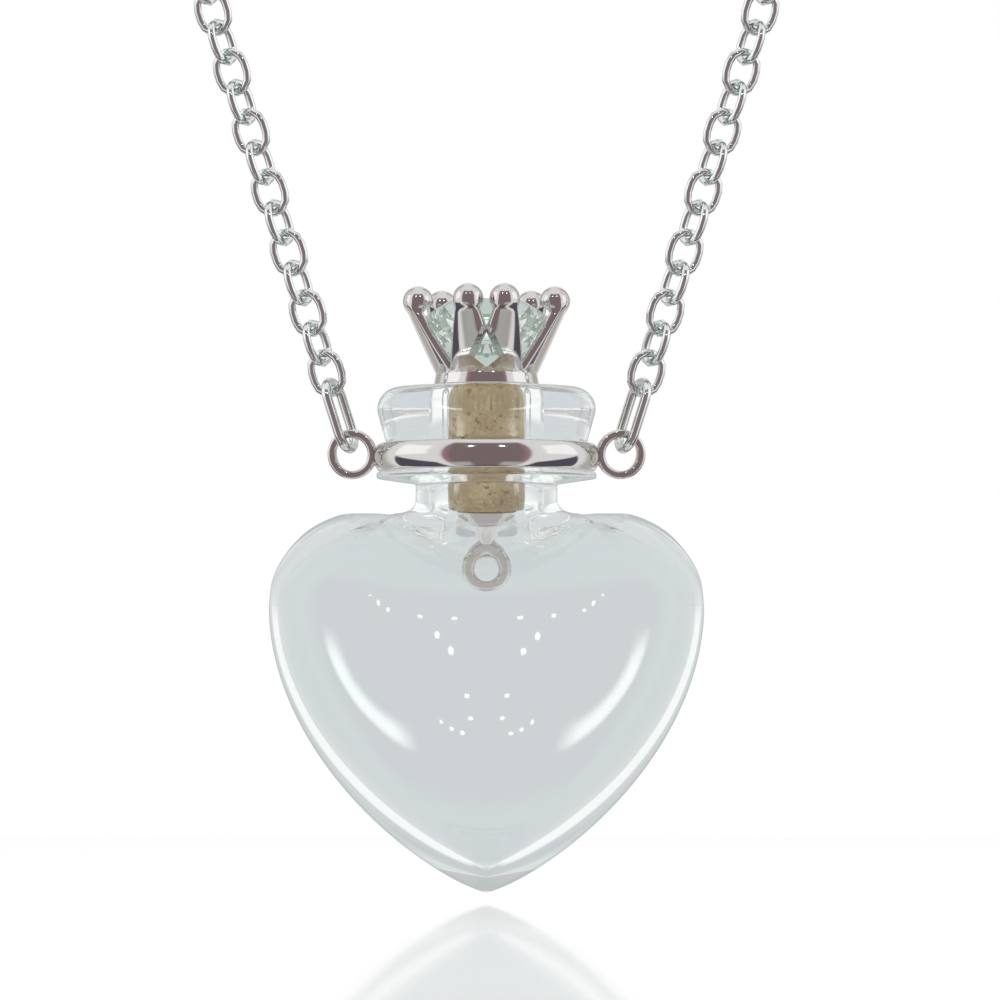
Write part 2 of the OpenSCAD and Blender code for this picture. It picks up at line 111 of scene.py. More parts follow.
# The fittings are a shade warmer than the chain's bright wire
steel = buffed_steel("polished stainless steel", "#d3d1d0")
bright_wire = buffed_steel("bright drawn steel wire", "#dee3e2")


def loose_solids(node):
    """The corners of each loose solid in a CAD node, one array for each solid."""
    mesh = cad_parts[node].data
    corners = np.empty(3 * len(mesh.vertices))
    mesh.vertices.foreach_get("co", corners)
    corners = corners.reshape(-1, 3)
    edges = np.empty(2 * len(mesh.edges), dtype=np.int32)
    mesh.edges.foreach_get("vertices", edges)
    same_spot = 0.0001 * MM     # triangles of one solid meet in corners closer than this
    spots, spot_of = np.unique(np.round(corners / same_spot), axis=0, return_inverse=True)
    a, b = spot_of.ravel()[edges].reshape(-1, 2).T
    label = np.arange(len(spots))
    while True:
        lowest = np.minimum(label[a], label[b])
        spread = label.copy()
        np.minimum.at(spread, a, lowest)
        np.minimum.at(spread, b, lowest)
        spread = spread[spread]
        if (spread == label).all():
            return [spots[label == k] * same_spot for k in np.unique(label)]
        label = spread


def lie_of(corners):
    """Where a flat link lies: its centre, and a turn from its own long, wide and thin ways."""
    middle = corners.mean(axis=0)
    ways = np.linalg.svd(corners - middle, full_matrices=False)[2]
    ways[2] = np.cross(ways[0], ways[1])
    reach = (corners - middle) @ ways.T
    centre = middle + (reach.max(axis=0) + reach.min(axis=0)) / 2 @ ways
    return Vector(centre), Matrix(ways.tolist()).transposed().to_quaternion()


def points_mesh(lies):
    """A mesh of bare points, each with the turn of what stands there."""
    mesh = bpy.data.meshes.new("points")
    mesh.from_pydata([place for place, turn in lies], [], [])
    turns = mesh.attributes.new("turn", "QUATERNION", "POINT")
    turns.data.foreach_set("value", [part for place, turn in lies for part in turn])
    return mesh


def new_shape_tree(name, **sockets):
    """A Geometry Nodes tree with named inputs, and the outputs of its Group Input node."""
    tree = bpy.data.node_groups.new(name, "GeometryNodeTree")
    tree.interface.new_socket("Geometry", in_out="OUTPUT", socket_type="NodeSocketGeometry")
    tree.interface.new_socket("Geometry", in_out="INPUT", socket_type="NodeSocketGeometry")
    for label, kind in sockets.items():
        tree.interface.new_socket(label, in_out="INPUT", socket_type="NodeSocket" + kind)
    return tree, add(tree, "NodeGroupInput").outputs


def stand_at_points(tree, points, instance, material):
    """Ends a tree: one instance at each point, turned as the point says, made real."""
    turn = add(tree, "GeometryNodeInputNamedAttribute", {"Name": "turn"}, data_type="QUATERNION")
    put = add(tree, "GeometryNodeInstanceOnPoints", {
        "Points": points, "Instance": instance, "Rotation": turn.outputs["Attribute"]
    })
    real = add(tree, "GeometryNodeRealizeInstances", {"Geometry": put.outputs["Instances"]})
    painted = add(tree, "GeometryNodeSetMaterial", {
        "Geometry": real.outputs["Geometry"], "Material": material
    })
    add(tree, "NodeGroupOutput", {"Geometry": painted.outputs["Geometry"]})


# A link's wire runs round a rectangle whose corners are rounded until its ends are half circles
link_tree, given = new_shape_tree(
    "wire link", Length="Float", Width="Float", Wire="Float", Bends="Int", Sides="Int", Material="Material"
)
middle_l = add(link_tree, "ShaderNodeMath", {0: given["Length"], 1: given["Wire"]}, operation="SUBTRACT")
middle_w = add(link_tree, "ShaderNodeMath", {0: given["Width"], 1: given["Wire"]}, operation="SUBTRACT")
bend = add(link_tree, "ShaderNodeMath", {0: middle_w.outputs[0], 1: 0.4999}, operation="MULTIPLY")
thick = add(link_tree, "ShaderNodeMath", {0: given["Wire"], 1: 0.5}, operation="MULTIPLY")
outline = add(link_tree, "GeometryNodeCurvePrimitiveQuadrilateral", {
    "Width": middle_l.outputs[0], "Height": middle_w.outputs[0]
})
rounded = add(link_tree, "GeometryNodeFilletCurve", {
    "Curve": outline.outputs["Curve"], "Count": given["Bends"], "Radius": bend.outputs[0],
    "Limit Radius": True
}, mode="POLY")
section = add(link_tree, "GeometryNodeCurvePrimitiveCircle", {
    "Resolution": given["Sides"], "Radius": thick.outputs[0]
})
wire = add(link_tree, "GeometryNodeCurveToMesh", {
    "Curve": rounded.outputs["Curve"], "Profile Curve": section.outputs["Curve"]
})
one_link = add(link_tree, "GeometryNodeMergeByDistance", {
    "Geometry": wire.outputs["Mesh"], "Distance": 0.02 * MM
})
stand_at_points(link_tree, given["Geometry"], one_link.outputs["Geometry"], given["Material"])


def grown(tree, base, **inputs):
    """The plain mesh that a Geometry Nodes tree makes of a base mesh with these inputs."""
    carrier = bpy.data.objects.new("carrier", base)
    bpy.context.collection.objects.link(carrier)
    modifier = carrier.modifiers.new("shape", "NODES")
    modifier.node_group = tree
    for item in tree.interface.items_tree:
        if item.in_out == "INPUT" and item.name in inputs:
            modifier[item.identifier] = inputs[item.name]
    graph = bpy.context.evaluated_depsgraph_get()
    mesh = bpy.data.meshes.new_from_object(carrier.evaluated_get(graph))
    carrier.modifiers.remove(modifier)
    bpy.data.objects.remove(carrier)
    return mesh


def finished(name, mesh, material, body, slot, *nodes, crease=40):
    """Closes a mesh's seams, turns its faces outwards, smooths it and sets it in the assembly."""
    work = bmesh.new()
    work.from_mesh(mesh)
    bmesh.ops.remove_doubles(work, verts=work.verts, dist=0.0005 * MM)
    bmesh.ops.recalc_face_normals(work, faces=work.faces)
    work.to_mesh(mesh)
    work.free()
    mesh.shade_smooth()
    mesh.set_sharp_from_angle(angle=radians(crease))
    mesh.materials.clear()
    mesh.materials.append(material)
    mesh.name = name
    piece = bpy.data.objects.new(name, mesh)
    bpy.context.collection.objects.link(piece)
    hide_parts(*nodes)
    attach(piece, body)


for side in ("left", "right"):
    lies = [lie_of(corners) for corners in loose_solids("chain_" + side)]
    links = grown(
        link_tree, points_mesh(lies),
        Length=LINK_L, Width=LINK_W, Wire=LINK_WIRE, Bends=3, Sides=8, Material=bright_wire
    )
    finished("cable_chain_" + side, links, bright_wire, "chain", "polished_steel", "chain_" + side, crease=80)
    lies = [lie_of(corners) for corners in loose_solids("end_link_" + side)]
    end_link = grown(
        link_tree, points_mesh(lies),
        Length=END_LINK_L, Width=END_LINK_W, Wire=END_LINK_WIRE, Bends=8, Sides=16, Material=bright_wire
    )
    finished("large_link_" + side, end_link, bright_wire, "chain", "polished_steel", "end_link_" + side)


# The clasp: a closed barrel of turned steel behind the neck, with a wire eye at each end.
# The barrel's ends are rounded, and the eyes are soldered into them.
CLASP_EYE_D = 3.2 * MM
CLASP_END_R = 0.7 * MM


def softened(outline, r, loop=False, steps=4):
    """The outline with its corners rounded, by at most r and half of each side that meets there."""
    points = [Vector(p) for p in outline]
    soft = []
    for k, here in enumerate(points):
        if not loop and k in (0, len(points) - 1):
            soft.append(here)
            continue
        before = points[k - 1] - here
        after = points[(k + 1) % len(points)] - here
        start = here + before * min(r / before.length, 0.5)
        end = here + after * min(r / after.length, 0.5)
        for n in range(steps + 1):
            t = n / steps
            soft.append(start * (1 - t) ** 2 + here * 2 * t * (1 - t) + end * t * t)
    return soft


def skin(rings, loop=False):
    """Corners and faces over rings of points. A ring of one point is a pole."""
    corners, faces, firsts = [], [], []
    for ring in rings:
        firsts.append(len(corners))
        corners += ring
    for a in range(len(rings) if loop else len(rings) - 1):
        b = (a + 1) % len(rings)
        n_a, n_b = len(rings[a]), len(rings[b])
        count = max(n_a, n_b)
        for i in range(count):
            j = (i + 1) % count
            face = [firsts[a] + i % n_a, firsts[a] + j % n_a, firsts[b] + j % n_b, firsts[b] + i % n_b]
            faces.append(list(dict.fromkeys(face)))
    return corners, faces


def turned(outline, columns=96, loop=False):
    """Corners and faces of an outline of radius and height, turned round the Z axis."""
    rings = []
    for r, z in outline:
        if r < 1e-9:
            rings.append([Vector((0, 0, z))])
        else:
            angles = [2 * pi * k / columns for k in range(columns)]
            rings.append([Vector((r * cos(a), r * sin(a), z)) for a in angles])
    return skin(rings, loop)


def joined(name, *shapes):
    """One mesh of several shapes. A shape is its corners and faces, and the matrix that places it."""
    corners, faces = [], []
    for (shape_corners, shape_faces), place in shapes:
        first = len(corners)
        corners += [place @ c for c in shape_corners]
        faces += [[first + k for k in face] for face in shape_faces]
    mesh = bpy.data.meshes.new(name)
    mesh.from_pydata(corners, [], faces)
    return mesh


def merged(mesh, other):
    """Adds another mesh's corners and faces to a mesh."""
    work = bmesh.new()
    work.from_mesh(mesh)
    work.from_mesh(other)
    work.to_mesh(mesh)
    work.free()
    return mesh


low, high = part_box("clasp")
barrel_r = high.z
eye_x = high.x - CLASP_EYE_D / 2
barrel_end = eye_x - CLASP_EYE_D / 2 + LINK_WIRE
past_barrel = barrel_end + 0.1 * MM
barrel = turned(softened(
    [(0, -barrel_end), (barrel_r, -barrel_end), (barrel_r, barrel_end), (0, barrel_end)], CLASP_END_R
))
along_x = Matrix.Rotation(radians(90), 4, "Y")
clasp_corners = loose_solids("clasp")[0]
eye_lies = []
for side in (-1, 1):
    lie = lie_of(clasp_corners[side * clasp_corners[:, 0] > past_barrel])
    eye_lies.append((Vector((side * eye_x, 0, 0)), lie[1]))
eyes = grown(
    link_tree, points_mesh(eye_lies),
    Length=CLASP_EYE_D, Width=CLASP_EYE_D, Wire=LINK_WIRE, Bends=8, Sides=12, Material=bright_wire
)
clasp = merged(joined("clasp", (barrel, along_x)), eyes)
finished("barrel_clasp", clasp, bright_wire, "chain", "polished_steel", "clasp")


# The bottle: one piece of clear borosilicate glass, blown into a heart with a drawn neck.
# The neck has a thin lip, a groove for the metal ring and a thick rim, all fire-polished,
# so every edge of it is melted round. The heart's wall is thin at its sides and thick at its tip.
HEART_W = 26.1 * MM
HEART_H = 22.7 * MM
WIDEST_H = 17.0 * MM
BELLY_H = 13.0 * MM
HEART_D = 12.4 * MM
GLASS_WALL = 1.0 * MM
SIDE_WALL = 0.65 * MM
TIP_WALL = 1.6 * MM
NECK_R = 4.25 * MM
NECK_H = 2.1 * MM
NECK_BLEND = 0.7 * MM
BORE_R = 2.35 * MM
BELL_H = 1.0 * MM
LIP_R = 6.6 * MM
LIP_H = 0.35 * MM
LIP_SLOPE_H = 0.35 * MM
RIM_R = 6.55 * MM
RIM_H = 3.3 * MM
RIM_ROUND = 1.3 * MM
MOUTH_W = 0.25 * MM
MELTED_R = 0.12 * MM
GROOVE_H = 1.82 * MM
GROOVE_R = 6.04 * MM
UNDER_RIM = -14
PAST_BLEND = 1.05
SQUARENESS = 2.2
COLUMNS = 144

# Under its widest place the heart's outline is a rounded power curve of the height over the
# tip, seen from the side and from the front, and its rings crowd towards the tip
SIDE_CURVE = (1.9, 0.774)
FRONT_CURVE = (2, 0.6)
CROWDING = 1.8

# The heart above its widest place, in rows: reach to the side and its height, reach to the
# front and its height, as shares of the way to the neck and of the height to the shoulder
SHOULDER_ROWS = [
    (1.000, 0.00, 0.90, 0.00),
    (0.976, 0.30, 0.84, 0.12),
    (0.888, 0.57, 0.74, 0.27),
    (0.725, 0.83, 0.60, 0.42),
    (0.500, 0.99, 0.45, 0.55),
    (0.290, 1.00, 0.30, 0.67),
    (0.120, 1.02, 0.16, 0.79),
    (0.035, 1.35, 0.05, 0.90),
    (0.000, 2.00, 0.00, 1.00),
]

# The ring's box is centred on its eyelets, which sit a little above the band's middle
EYELET_RISE = 0.2 * MM
low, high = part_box("neck_ring")
PENDANT = (low + high) / 2 - Vector((0, 0, EYELET_RISE))
in_place = Matrix.Translation(PENDANT)
groove_hi = GROOVE_H / 2
lip_lo = -GROOVE_H / 2 - LIP_H
shoulder = lip_lo - NECK_H
tip = shoulder - HEART_H
rim_top = groove_hi + RIM_H


def glass_ring(side, side_z, front, front_z, power=2.0):
    """A ring of the glass: reach to the side and its height, reach to the front and its height."""
    ring = []
    for k in range(COLUMNS):
        a = 2 * pi * (k + 0.5) / COLUMNS
        c, s = cos(a), sin(a)
        x = side * abs(c) ** (2 / power) * (1 if c > 0 else -1)
        y = front * abs(s) ** (2 / power) * (1 if s > 0 else -1)
        ring.append(Vector((x, y, side_z * c * c + front_z * s * s)))
    return ring


def through(a, b, c, d, t):
    """A smooth value between b and c, on a curve through a, b, c and d."""
    return b + 0.5 * t * (c - a + t * (2 * a - 5 * b + 4 * c - d + t * (3 * (b - c) + d - a)))


def heart_rings(half_w, half_d, bottom, top, throat, blend, low_rows=34, steps=7):
    """The rings of a heart from just over its lowest point up into its neck."""
    widest, belly = tip + WIDEST_H, tip + BELLY_H
    rings = [[Vector((0, 0, bottom))]]
    for k in range(1, low_rows + 1):
        t = (k / low_rows) ** CROWDING
        z = bottom + t * (widest - bottom)
        reach = (1 - (1 - t) ** SIDE_CURVE[0]) ** SIDE_CURVE[1]
        if z < belly:
            risen = (z - bottom) / (belly - bottom)
            deep = half_d * (1 - (1 - risen) ** FRONT_CURVE[0]) ** FRONT_CURVE[1]
        else:
            past = (z - belly) / (widest - belly)
            deep = half_d - (1 - SHOULDER_ROWS[0][2]) * (half_d - throat) * past ** 2
        rings.append(glass_ring(half_w * reach, z, deep, z, SQUARENESS))
    last = len(SHOULDER_ROWS) - 1
    for i in range(last):
        near = [SHOULDER_ROWS[min(max(i + n, 0), last)] for n in (-1, 0, 1, 2)]
        for k in range(1, steps + 1):
            row = [through(*column, k / steps) for column in zip(*near)]
            heights = [
                widest + min(h, 1) * (top - widest) + max(h - 1, 0) * blend for h in (row[1], row[3])
            ]
            rings.append(glass_ring(
                throat + row[0] * (half_w - throat), heights[0],
                throat + row[2] * (half_d - throat), heights[1],
                2 + (SQUARENESS - 2) * max(row[0], 0)
            ))
    return rings


def arc(centre, r, start, end, steps=12):
    """Points on an arc from one angle to another, in degrees."""
    angles = [radians(start + (end - start) * k / steps) for k in range(steps + 1)]
    return [(centre[0] + r * cos(a), centre[1] + r * sin(a)) for a in angles]


rim_r = RIM_R - RIM_ROUND
neck_outline = softened(
    [
        (NECK_R, shoulder + PAST_BLEND * NECK_BLEND), (NECK_R, lip_lo - LIP_SLOPE_H),
        (LIP_R, lip_lo), (LIP_R, lip_lo + LIP_H), (GROOVE_R, lip_lo + LIP_H), (GROOVE_R, groove_hi),
        *arc((rim_r, rim_top - RIM_ROUND), RIM_ROUND, UNDER_RIM, 90, 20),
        (BORE_R + MOUTH_W, rim_top), (BORE_R, rim_top - MOUTH_W),
        (BORE_R, shoulder - GLASS_WALL + PAST_BLEND * BELL_H)
    ],
    MELTED_R
)
outside = heart_rings(HEART_W / 2, HEART_D / 2, tip, shoulder, NECK_R, NECK_BLEND)
inside = heart_rings(
    HEART_W / 2 - SIDE_WALL, HEART_D / 2 - GLASS_WALL, tip + TIP_WALL, shoulder - GLASS_WALL,
    BORE_R, BELL_H
)
neck = [glass_ring(r, z, r, z) for r, z in neck_outline]
bottle_shape = skin(outside[:-1] + neck + inside[-2::-1])


def painted_glow_inside(tree, shader, turns, strength):
    """Paints a soft pale glow into a clear piece where a ray has mirrored inside it this many times:
    emission, though the piece is no lamp.
    """
    rays = add(tree, "ShaderNodeLightPath")
    caught = add(tree, "ShaderNodeMath", {
        0: rays.outputs["Glossy Depth"], 1: turns - 0.5
    }, operation="GREATER_THAN")
    glow = add(tree, "ShaderNodeMath", {0: caught.outputs[0], 1: strength}, operation="MULTIPLY")
    tree.links.new(glow.outputs[0], shader.inputs["Emission Strength"])


# Borosilicate glass, blown and fire-polished: water-clear with no edge tint to speak of,
# and a surface that flame has melted smooth but for waves about 4 mm long
MELTED_WAVE = 4 * MM
# The emission colour is the colour of a painted glow, switched on further down.
glass, tree, shader = new_material(
    "fire-polished borosilicate glass", Base_Color=linear("#fbfdfc"), Roughness=0.0, IOR=1.473,
    Transmission_Weight=1.0, Emission_Color=linear("#f2f5f5")
)
where = add(tree, "ShaderNodeTexCoord").outputs["Object"]
waves = add(tree, "ShaderNodeTexNoise", {"Vector": where, "Scale": 1 / MELTED_WAVE, "Detail": 1.0})
bump = add(tree, "ShaderNodeBump", {
    "Height": waves.outputs["Fac"], "Strength": 0.15, "Distance": 0.1 * MM
})
tree.links.new(bump.outputs["Normal"], shader.inputs["Normal"])
# Painted glow: where a ray has mirrored inside the glass three times, the glass emits pale light.
painted_glow_inside(tree, shader, turns=3, strength=0.2)
finished(
    "heart_bottle", joined("bottle", (bottle_shape, in_place)), glass, "pendant", "glass", "bottle", crease=60
)


# The neck ring: a band of stainless strip, domed outside and crimped into the bottle's groove.
# A short tube of the same steel is soldered to each side of it as an eyelet, then all is buffed.
BAND_R = 6.8 * MM
BAND_WALL = 0.7 * MM
BAND_H = 1.7 * MM
BAND_BULGE = 0.3 * MM
EYELET_R = 1.5 * MM
EYELET_WALL = 0.5 * MM
EYELET_W = 0.7 * MM
EYELET_X = 8.05 * MM
EYELET_YAW = 14
EYELET_PITCH = 6
EYELET_ROUND = 0.2 * MM
BUFFED_R = 0.12 * MM
SOLDER_BEAD_R = 0.42 * MM
SOLDER_BEAD_SHAPE = (0.5, 0.75, 1.3, 1)
SUNK = 0.02 * MM
half = BAND_H / 2
dome_r = (half ** 2 + BAND_BULGE ** 2) / (2 * BAND_BULGE)
dome_angle = degrees(atan2(half, dome_r - BAND_BULGE))
band = turned(softened(
    [
        (BAND_R - BAND_WALL, -half), *arc((BAND_R - dome_r, 0), dome_r, -dome_angle, dome_angle),
        (BAND_R - BAND_WALL, half)
    ],
    BUFFED_R, loop=True, steps=3
), columns=192, loop=True)
eyelet = turned(softened(
    [
        (EYELET_R - EYELET_WALL, -EYELET_W / 2), (EYELET_R, -EYELET_W / 2),
        (EYELET_R, EYELET_W / 2), (EYELET_R - EYELET_WALL, EYELET_W / 2)
    ],
    EYELET_ROUND, loop=True, steps=5
), columns=72, loop=True)
bead = turned(arc((0, 0), SOLDER_BEAD_R, -90, 90), columns=32)
ring_shapes = [(band, in_place)]
for side in (-1, 1):
    at_eyelet = (
        in_place @ Matrix.Translation((side * EYELET_X, 0, EYELET_RISE))
        @ Matrix.Rotation(radians(side * EYELET_YAW), 4, "Z")
        @ Matrix.Rotation(radians(90 + EYELET_PITCH), 4, "X")
    )
    ring_shapes.append((eyelet, at_eyelet))
    at_bead = in_place @ Matrix.Translation((side * (BAND_R - SUNK), 0, 0))
    ring_shapes.append((bead, at_bead @ Matrix.Diagonal(SOLDER_BEAD_SHAPE)))
finished("neck_ring_steel", joined("ring", *ring_shapes), steel, "pendant", "polished_steel", "neck_ring")


# The cork: a plug of natural cork, cut across the bark and sanded to the bore.
# Its lower edge is chamfered, and the crown's post and the eye pin are glued into its ends.
CORK_R = 2.3 * MM
CORK_L = 7.7 * MM
CORK_CHAMFER = 0.15 * MM
SANDED_R = 0.05 * MM
SEAT_GAP = 0.05 * MM
collar_lo = rim_top + SEAT_GAP
cork_lo = collar_lo - CORK_L
cork_outline = [
    (0, cork_lo), (CORK_R - CORK_CHAMFER, cork_lo), (CORK_R, cork_lo + CORK_CHAMFER),
    (CORK_R, collar_lo), (0, collar_lo)
]
cork_shape = turned(softened(cork_outline, SANDED_R, steps=2), columns=96)

# Natural cork, cut and sanded: tan cells about 0.1 mm across with darker brown specks
# and a few dark pores about 0.6 mm long that run along the plug, and no gloss
CELL = 0.12 * MM
SPECK = 0.35 * MM
PORE = 0.9 * MM
CLOUD = 1.6 * MM
cork, tree, shader = new_material("natural cork", Roughness=0.85, IOR=1.45)
where = add(tree, "ShaderNodeTexCoord").outputs["Object"]
cells = add(tree, "ShaderNodeTexNoise", {
    "Vector": where, "Scale": 1 / CELL, "Detail": 3.0, "Roughness": 0.7
})
clouds = add(tree, "ShaderNodeTexNoise", {"Vector": where, "Scale": 1 / CLOUD, "Detail": 3.0})
specks = add(tree, "ShaderNodeTexNoise", {"Vector": where, "Scale": 1 / SPECK, "Detail": 1.0})
stretched = add(tree, "ShaderNodeMapping", {"Vector": where, "Scale": (1.0, 1.0, 0.45)})
pores = add(tree, "ShaderNodeTexVoronoi", {"Vector": stretched.outputs["Vector"], "Scale": 1 / PORE})
body = add(tree, "ShaderNodeValToRGB", {"Fac": clouds.outputs["Fac"]})
body.color_ramp.elements[0].position = 0.35
body.color_ramp.elements[0].color = linear("#a38d67")
body.color_ramp.elements[1].position = 0.65
body.color_ramp.elements[1].color = linear("#c1ad86")
grain = add(tree, "ShaderNodeMapRange", {
    "Value": cells.outputs["Fac"], "From Min": 0.35, "From Max": 0.65, "To Min": 0.76, "To Max": 1.1
})
grained = add(tree, "ShaderNodeVectorMath", {
    0: body.outputs["Color"], "Scale": grain.outputs["Result"]
}, operation="SCALE")
speck_mask = add(tree, "ShaderNodeMapRange", {
    "Value": specks.outputs["Fac"], "From Min": 0.6, "From Max": 0.68, "To Min": 0.0, "To Max": 0.75
})
pore_mask = add(tree, "ShaderNodeMapRange", {
    "Value": pores.outputs["Distance"], "From Min": 0.1, "From Max": 0.16, "To Min": 0.8, "To Max": 0.0
})
speckled = add(tree, "ShaderNodeMix", {
    "Factor": speck_mask.outputs["Result"], "A": grained.outputs["Vector"], "B": linear("#7a5a3a")
}, data_type="RGBA")
pored = add(tree, "ShaderNodeMix", {
    "Factor": pore_mask.outputs["Result"], "A": speckled.outputs["Result"], "B": linear("#5c4128")
}, data_type="RGBA")
tree.links.new(pored.outputs["Result"], shader.inputs["Base Color"])
relief = add(tree, "ShaderNodeMath", {
    0: cells.outputs["Fac"], 1: pore_mask.outputs["Result"]
}, operation="SUBTRACT")
bump = add(tree, "ShaderNodeBump", {
    "Height": relief.outputs[0], "Strength": 0.6, "Distance": 0.05 * MM
})
tree.links.new(bump.outputs["Normal"], shader.inputs["Normal"])
finished("cork_plug", joined("cork", (cork_shape, in_place)), cork, "stopper", "cork", "cork", crease=50)


# The crown: cast in one piece, plated and polished bright. Six prongs widen down from ball tips
# to a collar that seats on the glass rim, and a post under the collar is glued into the cork.
COLLAR_R = 3.2 * MM
COLLAR_H = 0.9 * MM
COLLAR_TAPER = 0.15 * MM
COLLAR_ROUND = 0.2 * MM
PRONG_H = 4.15 * MM
PRONG_CIRCLE_R = 4.2 * MM
TIP_R = 0.93 * MM
PRONG_FOOT_W = 3.3 * MM
PRONG_TOP_W = 1.4 * MM
PRONG_T = 0.65 * MM
PRONG_INSET = 0.15 * MM
PRONG_SUNK = 0.2 * MM
PRONG_SQUARENESS = 5
POST_R = 0.4 * MM
POST_L = 2.2 * MM
PRONG_AT = (-140, -77, -15, 15, 77, 140)
WINDOW_W = 1.8 * MM
WINDOW_H = 1.75 * MM
WINDOW_SILL = 0.1 * MM
WINDOW_WAIST = 0.4
WINDOW_FLARE = 0.4
collar_hi = collar_lo + COLLAR_H
ball_z = collar_hi + PRONG_H
foot_r = COLLAR_R - PRONG_INSET
lean = atan2(PRONG_CIRCLE_R + TIP_R - PRONG_INSET - foot_r, PRONG_H)
across = PRONG_T / cos(lean)


def prong_rings(columns=32):
    """A prong that faces the front: a slice of a flared shell that flows into its ball tip."""
    foot_z = collar_hi - PRONG_SUNK
    top_z = ball_z - TIP_R / 2
    neck_z = ball_z - 1.3 * TIP_R

    # Rings up the prong, closer together where it turns into the ball, and then over the ball
    heights = [foot_z + (neck_z - foot_z) * k / 10 for k in range(10)]
    heights += [neck_z + 0.4 * TIP_R * k / 5 for k in range(5)]
    heights += [ball_z + TIP_R * sin(radians(-64 + 150 * k / 18)) for k in range(19)]
    rings = []
    for z in heights:
        # The prong's own shape fades into the ball's from 0.9 to 0.1 of a radius under its middle
        q = (z - ball_z) / TIP_R
        ball = TIP_R * sqrt(max(1 - q * q, 0))
        t = min(max((-q - 0.1) / 0.8, 0), 1)
        stays = t * t * (3 - 2 * t)
        share = min((z - foot_z) / (top_z - foot_z), 1)
        prong_w = PRONG_FOOT_W + share * (PRONG_TOP_W - PRONG_FOOT_W)
        face = foot_r + (z - foot_z) * tan(lean)
        half_w = ball + stays * (prong_w / 2 - ball)
        outer = (1 - stays) * (PRONG_CIRCLE_R + ball) + stays * face
        inner = (1 - stays) * (PRONG_CIRCLE_R - ball) + stays * (face - across)
        power = 2 + (PRONG_SQUARENESS - 2) * stays
        ring = []
        for k in range(columns):
            a = 2 * pi * k / columns
            c, s = cos(a), sin(a)
            x = half_w * abs(c) ** (2 / power) * (1 if c > 0 else -1)
            r = (outer + inner) / 2 + (outer - inner) / 2 * abs(s) ** (2 / power) * (1 if s > 0 else -1)
            ring.append(Vector((x, -r + stays * x * x / (2 * r), z)))
        rings.append(ring)
    rings.insert(0, [sum(rings[0], Vector()) / columns])
    rings.append([Vector((0, -PRONG_CIRCLE_R, ball_z + TIP_R))])
    return rings


ring_tree, given = new_shape_tree("prongs round the crown", Points="Object", Material="Material")
places = add(ring_tree, "GeometryNodeObjectInfo", {"Object": given["Points"]})
stand_at_points(ring_tree, places.outputs["Geometry"], given["Geometry"], given["Material"])
prong_lies = [
    (PENDANT, Matrix.Rotation(radians(angle), 3, "Z").to_quaternion()) for angle in PRONG_AT
]
prong_points = bpy.data.objects.new("prong_points", points_mesh(prong_lies))
bpy.context.collection.objects.link(prong_points)
prong = joined("prong", (skin(prong_rings()), Matrix()))
crown_mesh = grown(ring_tree, prong, Points=prong_points, Material=steel)
bpy.data.objects.remove(prong_points)
collar = turned(softened(
    [
        (0, collar_lo), (COLLAR_R, collar_lo), (COLLAR_R - COLLAR_TAPER, collar_hi), (0, collar_hi)
    ],
    COLLAR_ROUND
), columns=128)
post = turned(
    [(0, collar_lo - POST_L), (POST_R, collar_lo - POST_L), (POST_R, collar_hi), (0, collar_hi)], 24
)
merged(crown_mesh, joined("collar", (collar, in_place), (post, in_place)))


def kite(y, scale):
    """The window's outline at one depth, wider towards the front."""
    sill = collar_hi + WINDOW_SILL
    half = scale * WINDOW_W / 2
    tall = scale * WINDOW_H
    waist = sill + WINDOW_WAIST * tall
    return [
        Vector((0, y, sill)), Vector((half, y, waist)), Vector((0, y, sill + tall)),
        Vector((-half, y, waist))
    ]


# The window is cut right through the front wall of the crown, and it widens towards the
# front, so its edges catch the light
flare = WINDOW_FLARE / WINDOW_W
front_y, back_y = -2 * PRONG_CIRCLE_R, -0.6 * foot_r
rings = [kite(y, 1 + 2 * flare * (-y - foot_r)) for y in (back_y, front_y)]
middles = [[sum(ring, Vector()) / 4] for ring in rings]
window = joined("window", (skin([middles[0], *rings, middles[1]]), in_place))


def without(mesh, cutter):
    """The mesh as one solid with the cutter's shape taken out of it."""
    body, tool = bpy.data.objects.new("body", mesh), bpy.data.objects.new("tool", cutter)
    for piece in (body, tool):
        bpy.context.collection.objects.link(piece)
        work = bmesh.new()
        work.from_mesh(piece.data)
        bmesh.ops.recalc_face_normals(work, faces=work.faces)
        work.to_mesh(piece.data)
        work.free()
    modifier = body.modifiers.new("cut", "BOOLEAN")
    modifier.operation = "DIFFERENCE"
    modifier.solver = "EXACT"
    modifier.use_self = True
    modifier.object = tool
    graph = bpy.context.evaluated_depsgraph_get()
    result = bpy.data.meshes.new_from_object(body.evaluated_get(graph))
    bpy.data.objects.remove(body)
    bpy.data.objects.remove(tool)
    return result


crown_mesh = without(crown_mesh, window)
finished("crown_steel", crown_mesh, steel, "stopper", "polished_steel", "crown")


# The crystal: one round brilliant of pale green lead glass, cut and polished to flat facets.
# It drops into the crown, where the ball tips lean over its edge. Its CAD solid is the stone.
TINT_CLOUD = 3 * MM
# The emission colour is the colour of a painted glow, switched on further down.
crystal, tree, shader = new_material(
    "cut lead crystal", Base_Color=linear("#e9f4ed"), Roughness=0.0, IOR=1.56, Transmission_Weight=1.0,
    Emission_Color=linear("#dfeee6")
)
where = add(tree, "ShaderNodeTexCoord").outputs["Object"]
depth = add(tree, "ShaderNodeTexNoise", {"Vector": where, "Scale": 1 / TINT_CLOUD, "Detail": 0.0})
tint = add(tree, "ShaderNodeMix", {
    "Factor": depth.outputs["Fac"], "A": linear("#dceee4"), "B": linear("#f5faf5")
}, data_type="RGBA")
tree.links.new(tint.outputs["Result"], shader.inputs["Base Color"])
# Painted glow: where a ray has mirrored inside the stone twice, it emits pale green light.
painted_glow_inside(tree, shader, turns=2, strength=0.12)
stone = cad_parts["crystal"]
stone.data.materials.clear()
stone.data.materials.append(crystal)


